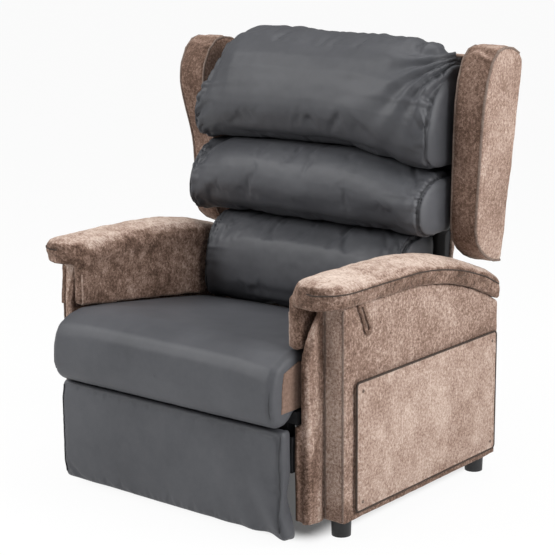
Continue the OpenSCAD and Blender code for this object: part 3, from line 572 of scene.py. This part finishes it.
def end_seam(name, bag, x, body):
    """A fine cord round a cushion where its face is sewn to the end panel."""
    near = [v.co for v in bag.data.vertices if abs(v.co.x - x) < 0.004]
    mid_y = sum(p.y for p in near) / len(near)
    mid_z = sum(p.z for p in near) / len(near)
    rim = {}
    for p in near:
        turn = int((math.atan2(p.z - mid_z, p.y - mid_y) / math.tau + 0.5) * 72)
        reach = math.hypot(p.y - mid_y, p.z - mid_z)
        if turn not in rim or reach > rim[turn][0]:
            rim[turn] = (reach, p.y, p.z)
    ring = [rim[turn] for turn in sorted(rim)]
    knots = [(x, (a[1] + 2 * b[1] + c[1]) / 4, (a[2] + 2 * b[2] + c[2]) / 4)
             for a, b, c in zip(ring[-1:] + ring[:-1], ring, ring[1:] + ring[:1])]
    cord = piping(name, knots, 0.0010, closed=True)
    dressed(cord, vinyl_thread, body, "grey_coated_fabric")


vinyl = vinyl_finish("grey_vinyl")
vinyl_thread = vinyl_finish("vinyl_thread", shade=0.7)
# The head cushion's vinyl is the same cloth, a little darker: painted shade.
head_vinyl_painted_shade = vinyl_finish("grey_vinyl_head_painted_shade", shade=0.92)


# Seat cushion: a block of foam with a bull nose in a vinyl cover, laid on the webbing.
# The cover is filled tight, most of all round the nose, and sewn to its ends with a cord.
def refined(piece):
    """One level finer, and smooth."""
    fine = piece.modifiers.new("fine", "SUBSURF")
    fine.levels = 1
    fine.render_levels = 1
    bpy.ops.object.modifier_apply(modifier=fine.name)
    bpy.ops.object.shade_smooth()


seat = foam_form("seat_cover", ["seat_cushion"], voxel=0.008, rounds=8)
seat_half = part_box("seat_cushion")[1].x
refined(seat)


def seat_cloth_form(p, n):
    nose = ease(0.22, 0.40, -p.y)
    fill = nose * (0.011 * max(0.0, -n.z) * (p.z < 0.37)
                   + 0.005 * max(0.0, -n.y) + 0.003 * abs(n.x))
    seam = -0.0020 * ridge(seat_half - abs(p.x), 0.008, 0.0035) * nose
    return fill + seam + 0.0008 * noise.noise(p * 9) + 0.0004 * noise.noise(p * 26)


press(seat, seat_cloth_form)
dressed(seat, vinyl, "chassis", "grey_coated_fabric", "seat_cushion", fill=0.9)
for side, hand in hands:
    end_seam("seat_seam_" + hand, seat, side * (seat_half - 0.006), "chassis")


# Back cushions: three fibre-filled bags with a waterfall fall, zipped to the core one over another.
# Each cover is gathered into its ends; the loose right end of the top one hangs over the next.
def swell(piece, shrink, cap, held):
    """Takes the cover in, blows it up against its seams, and caps how far it moves."""
    bpy.ops.object.select_all(action="DESELECT")
    piece.select_set(True)
    bpy.context.view_layer.objects.active = piece
    seams = piece.vertex_groups.new(name="seams")
    seams.add([v.index for v in piece.data.vertices if held(v.co)], 1.0, "ADD")
    press(piece, lambda p, n: 0.0 if held(p) else -shrink)
    start = [v.co.copy() for v in piece.data.vertices]
    cloth = piece.modifiers.new("fill", "CLOTH")
    cloth.settings.use_pressure = True
    cloth.settings.uniform_pressure_force = 4.0
    cloth.settings.effector_weights.gravity = 0.0
    cloth.settings.vertex_group_mass = "seams"
    cloth.settings.shrink_min = -0.03
    cloth.point_cache.frame_start = 1
    cloth.point_cache.frame_end = 20
    for step in range(1, 21):
        bpy.context.scene.frame_set(step)
    bpy.ops.object.modifier_apply(modifier=cloth.name)
    bpy.context.scene.frame_set(1)
    piece.vertex_groups.clear()
    for v, spot in zip(piece.data.vertices, start):
        way = v.co - spot
        if way.length > cap:
            v.co = spot + way * (cap / way.length)
    piece.data.update()
    refined(piece)


def stroke(p, a, b, width):
    """1 on the line from a to b seen from the front, fading over a width."""
    run = Vector((b[0] - a[0], b[1] - a[1]))
    off = Vector((p.x - a[0], p.z - a[1]))
    t = min(1.0, max(0.0, off.dot(run) / run.length_squared))
    return math.exp(-((off - run * t).length / width) ** 2) * (1 - 0.7 * t)


drag_lines = [((0.128, 0.948), (0.142, 0.902)), ((0.118, 0.936), (0.090, 0.900)),
              ((0.030, 0.930), (0.068, 0.884))]
fan_corner = (0.392, 1.105)
droop = 0.028

for part, half, centre, gather in (("lower", 0.331, (0.185, 0.53), 0.0030),
                                   ("middle", 0.3896, (0.205, 0.75), 0.0042),
                                   ("upper", 0.3896, (0.235, 0.97), 0.0085)):
    upper = part == "upper"
    bag = foam_form("back_bag_" + part, ["back_cushion_" + part], voxel=0.007, rounds=2)

    def sewn(p):
        return abs(p.x) > half - 0.010 or p.y > 0.250 + (p.z - 0.345) * 0.105

    def gathered(p, n):
        e = half - abs(p.x)
        around = math.atan2(p.z - centre[1], p.y - centre[0])
        wander = noise.noise(Vector((p.x * 6, around * 2.5, 5))) * 2.2
        reach = 0.075 if upper and p.x > 0 and p.z > 0.96 else 0.032
        patch = max(0.0, 0.4 + 0.9 * noise.noise(Vector((around * 3.1, p.x * 3, 9))))
        run = math.exp(-max(0.0, e - 0.02) / reach) * patch
        folds = gather * run * ease(0.006, 0.020, e) * math.sin(14 * around + 9 * e + wander)
        sag = 0.004 * max(0.0, -n.z) * noise.noise(Vector((p.x * 11, 2, 4)))
        crown = (0.008 + 0.010 * ridge(p.x, -0.22, 0.13)) * max(0.0, n.z) * ease(1.0, 1.1, p.z)
        seam = drag = 0.0
        if upper:
            drag = -0.006 * sum(stroke(p, a, b, 0.011) for a, b in drag_lines) * max(0.0, -n.y)
            if p.x > 0 and p.y < 0.36:
                spread = math.hypot(p.x - fan_corner[0], p.z - fan_corner[1])
                turn = math.atan2(fan_corner[1] - p.z, fan_corner[0] - p.x)
                fan = math.exp(-spread / 0.12)
                ripple = math.sin(16 * turn + 3 * noise.noise(p * 6))
                folds = folds * (1 - fan) + 0.0105 * fan * ease(0.0, 0.06, spread) * ripple
        else:
            seam = (0.0012 * math.sin(30 * around + wander) - 0.0026) * ridge(e, 0.014, 0.005)
        return (folds + seam + sag + drag + crown
                + 0.0012 * noise.noise(p * 12) + 0.0006 * noise.noise(p * 40))

    swell(bag, shrink=0.004, cap=0.010, held=sewn)
    press(bag, gathered)
    for v, n in [(v, v.normal.copy()) for v in bag.data.vertices]:
        square = 0.009 if v.co.x < 0 or part == "lower" else 0.003
        end = 1 - ease(0.02, 0.05, half - abs(v.co.x))
        squared = square * 4 * abs(n.x) * (1 - abs(n.x)) * end
        v.co += Vector((0.0, n.y * squared, n.z * squared))
        loose = ease(0.08, 0.36, v.co.x)
        if part == "lower":
            v.co.z -= 0.008 * (1 - ease(0.42, 0.52, v.co.z)) * (1 - ease(0.18, 0.22, v.co.y))
        elif part == "middle":
            v.co.z -= droop * loose * ease(0.70, 0.85, v.co.z)
        else:
            v.co.x += 0.036 * ease(0.24, half, -v.co.x) * ease(0.92, 1.08, v.co.z)
            v.co.z -= droop * loose * (1 - ease(0.87, 1.02, v.co.z))
    bag.data.update()
    dressed(bag, head_vinyl_painted_shade if upper else vinyl, "backrest", "grey_coated_fabric",
            "back_cushion_" + part, fill=0.8)
    for side, hand in hands:
        if not upper:
            end_seam("bag_seam_" + part + "_" + hand, bag, side * (half - 0.013), "backrest")


# Wings: shaped foam boards beside the head in velour, a front border sewn to the side panels.
# Piping runs round the outer and inner edges, and the border puckers over the top.
def settle(y, z, side):
    """Where the padding of the left wing has settled: drawn back low in front, lower on top."""
    if side > 0:
        return y, z
    front = 1 - ease(0.26, 0.36, y)
    back = 0.030 * ease(0.58, 0.72, z) * (1 - ease(0.80, 0.98, z)) - 0.010 * ridge(z, 1.02, 0.07)
    return y + back * front, z - 0.016 * ease(0.98, 1.12, z)


def wing_waves(p, n):
    puckers = math.sin(150 * (p.y + 0.6 * p.z) + 5 * noise.noise(p * 20))
    return (0.0016 * noise.noise(p * 13) + 0.0008 * noise.noise(p * 45)
            + 0.0024 * ease(1.03, 1.10, p.z) * puckers * (1 - abs(n.x)))


corners = [(0.372, 0.576), (0.341, 0.580), (0.307, 0.594), (0.275, 0.616), (0.253, 0.642),
           (0.243, 0.673), (0.241, 0.730), (0.241, 0.800), (0.239, 0.910), (0.241, 0.990),
           (0.250, 1.049), (0.2675, 1.096), (0.293, 1.1205), (0.321, 1.1272), (0.360, 1.1222),
           (0.389, 1.1090)]
trace = [(y0 + (y1 - y0) * k / 4, z0 + (z1 - z0) * k / 4)
         for (y0, z0), (y1, z1) in zip(corners, corners[1:]) for k in range(4)] + corners[-1:]

for side, hand in hands:
    wing = foam_form("wing_cover_" + hand, ["wing_" + hand], voxel=0.005, rounds=2)

    # Painted shade: the front border, the inner face and the top are drawn darker than the outer
    # side; noise adds random pile tone.
    def wing_shade_and_tone(p, n):
        return (0.26 + 0.58 * ease(0.25, 0.8, -n.y) + 0.35 * max(0.0, -n.x * side)
                + 0.15 * max(0.0, n.z) + 0.2 * noise.noise(p * 8) + 0.1 * noise.noise(p * 40))

    press(wing, wing_waves)
    mark_tone_and_painted_shade(wing, wing_shade_and_tone)
    for v in wing.data.vertices:
        v.co.y, v.co.z = settle(v.co.y, v.co.z, side)
    wing.data.update()
    dressed(wing, panel_velour, "backrest", "velour", "wing_" + hand, fill=0.8)
    for name, x, splay in (("outer", 0.4805, 0.060), ("inner", 0.4078, 0.025)):
        run = [(side * (x + splay * (z - 0.695)), *settle(y, z, side)) for y, z in trace]
        edge = piping("wing_piping_" + name + "_" + hand, run, 0.0034)
        dressed(edge, velour_piping, "backrest", "velour")


# Rear of the back: a flat padded board in velour that closes the frame from top to seat.
# It is screwed to the uprights and folds forward over the top rail.
rear_cover = foam_form("back_rear_cloth", ["back_rear_cover"], voxel=0.006, rounds=3)
press(rear_cover, lambda p, n: 0.0014 * noise.noise(p * 9))
dressed(rear_cover, velour, "backrest", "velour", "back_rear_cover", fill=1.0)


# Legrest pad: a flat foam sheet in vinyl over the board, its cover drawn round the edges.
# The lower corners are folded under, and the fold drags short creases up the face.
legrest = foam_form("legrest_cover", ["legrest_pad"], voxel=0.006, rounds=1)
low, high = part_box("legrest_pad")


def legrest_edge(p):
    rim = min(high.x - abs(p.x), p.z - low.z, high.z - p.z)
    return p.y > high.y - 0.006 or rim < 0.008


def legrest_folds(p, n):
    end = high.x - p.x
    corner = math.exp(-abs(end) / 0.06) * (1 - ease(0.03, 0.24, p.z))
    drag = 0.0075 * corner * math.sin(70 * (p.x - 0.30) + 34 * (p.z - 0.1))
    return drag + 0.0010 * noise.noise(p * 8) + 0.0005 * noise.noise(p * 30)


swell(legrest, shrink=0.003, cap=0.005, held=legrest_edge)
press(legrest, legrest_folds)
for v in legrest.data.vertices:
    wrap = ease(high.y - 0.012, high.y, v.co.y) * ease(0.344, 0.352, abs(v.co.x))
    tuck = math.exp(-((v.co.x - high.x) ** 2 + (v.co.z - low.z) ** 2) / 0.0012)
    wide = math.copysign(0.005 * ease(0.30, 0.36, abs(v.co.x)), v.co.x)
    fall = -0.004 * (1 - ease(0.03, 0.12, v.co.z)) - 0.006 * tuck * (0.4 + wrap)
    v.co += Vector((wide + 0.004 * tuck, 0.010 * wrap, fall))
dressed(legrest, vinyl, "legrest", "grey_coated_fabric", "legrest_pad", fill=0.9)
for side, hand in hands:
    x = side * (high.x - 0.002)
    run = []
    for k in range(31):
        z = low.z + 0.012 + k * (high.z - low.z - 0.024) / 30
        near = [v.co.y for v in legrest.data.vertices
                if abs(v.co.x - x) < 0.004 and abs(v.co.z - z) < 0.007]
        run.append((x, min(near, default=low.y), z))
    cord = piping("legrest_seam_" + hand, run, 0.0014)
    dressed(cord, vinyl_thread, "legrest", "grey_coated_fabric")


# Studio: a white floor that keeps the chair's shadow, soft lamps and the photograph's camera.
# The main lamp stands to the right, so the outer sides are lighter than the fronts.
bpy.ops.object.select_all(action="DESELECT")
bpy.ops.mesh.primitive_plane_add(size=120, location=(0, 0, 0))
floor = bpy.context.object
floor.name = "studio_floor"
floor_paint, shader, place = new_finish("studio_white")
shader.inputs["Base Color"].default_value = (0.88, 0.88, 0.88, 1)
shader.inputs["Roughness"].default_value = 0.9
tree = floor_paint.node_tree
rays = tree.nodes.new("ShaderNodeLightPath")
seen = Wire(tree, rays.outputs["Is Camera Ray"]) + Wire(tree, rays.outputs["Is Glossy Ray"])
glow = place.make("ShaderNodeEmission", {}, {"Color": (1, 1, 1, 1), "Strength": 1.0})
across = place.make("ShaderNodeSeparateXYZ", {}, {"Vector": place}, out=0)
along = place.make("ShaderNodeSeparateXYZ", {}, {"Vector": place}, out=1)
under = 1.0
for axis, clear, dark in ((across, -0.42, -0.34), (across, 0.42, 0.34),
                          (along, -0.36, -0.28), (along, 0.46, 0.38)):
    under = under * axis.make("ShaderNodeMapRange", {"interpolation_type": "SMOOTHSTEP"},
                              {"Value": axis, "From Min": clear, "From Max": dark,
                               "To Min": 0.0, "To Max": 1.0})
lit = seen * (0.95 - 0.85 * under)
painted = Wire(tree, shader.outputs[0])
mixed = place.make("ShaderNodeMixShader", {}, {0: lit, 1: painted, 2: glow})
tree.links.new(mixed.out, tree.nodes["Material Output"].inputs["Surface"])
floor.data.materials.append(floor_paint)

world = bpy.data.worlds.new("studio")
bpy.context.scene.world = world
world.use_nodes = True
tree = world.node_tree
air = tree.nodes["Background"]
rays = tree.nodes.new("ShaderNodeLightPath")
seen = Wire(tree, rays.outputs["Is Camera Ray"])
(0.22 + 0.78 * seen).feeds(air, "Strength")
air.inputs["Color"].default_value = (1, 1, 1, 1)

for name, stand, aim, size, power in (("fill", (-2.2, -2.6, 3.0), (0, 0, 0.6), 2.2, 128),
                                      ("key", (3.5, 0.6, 2.1), (0.3, 0, 0.5), 2.0, 118),
                                      ("top", (0.2, 0.3, 3.8), (0, 0, 0.6), 2.6, 62)):
    lamp = bpy.data.lights.new(name, "AREA")
    lamp.size = size
    lamp.energy = power
    lamp_object = bpy.data.objects.new(name, lamp)
    bpy.context.scene.collection.objects.link(lamp_object)
    lamp_object.location = stand
    beam = Vector(aim) - Vector(stand)
    lamp_object.rotation_euler = beam.to_track_quat("-Z", "Y").to_euler()

lens = bpy.data.cameras.new("photo_camera")
lens.sensor_width = 36.0
lens.lens = 107.8
camera = bpy.data.objects.new("photo_camera", lens)
bpy.context.scene.collection.objects.link(camera)
camera.location = (2.665, -3.258, 1.492)
look_at, roll = Vector((0.0093, 0.0316, 0.527)), -0.41
look = (look_at - camera.location).to_track_quat("-Z", "Y").to_matrix()
camera.rotation_euler = look.to_euler()
camera.rotation_euler.rotate_axis("Z", math.radians(roll))
bpy.context.scene.camera = camera

bpy.context.scene.view_settings.view_transform = "Standard"
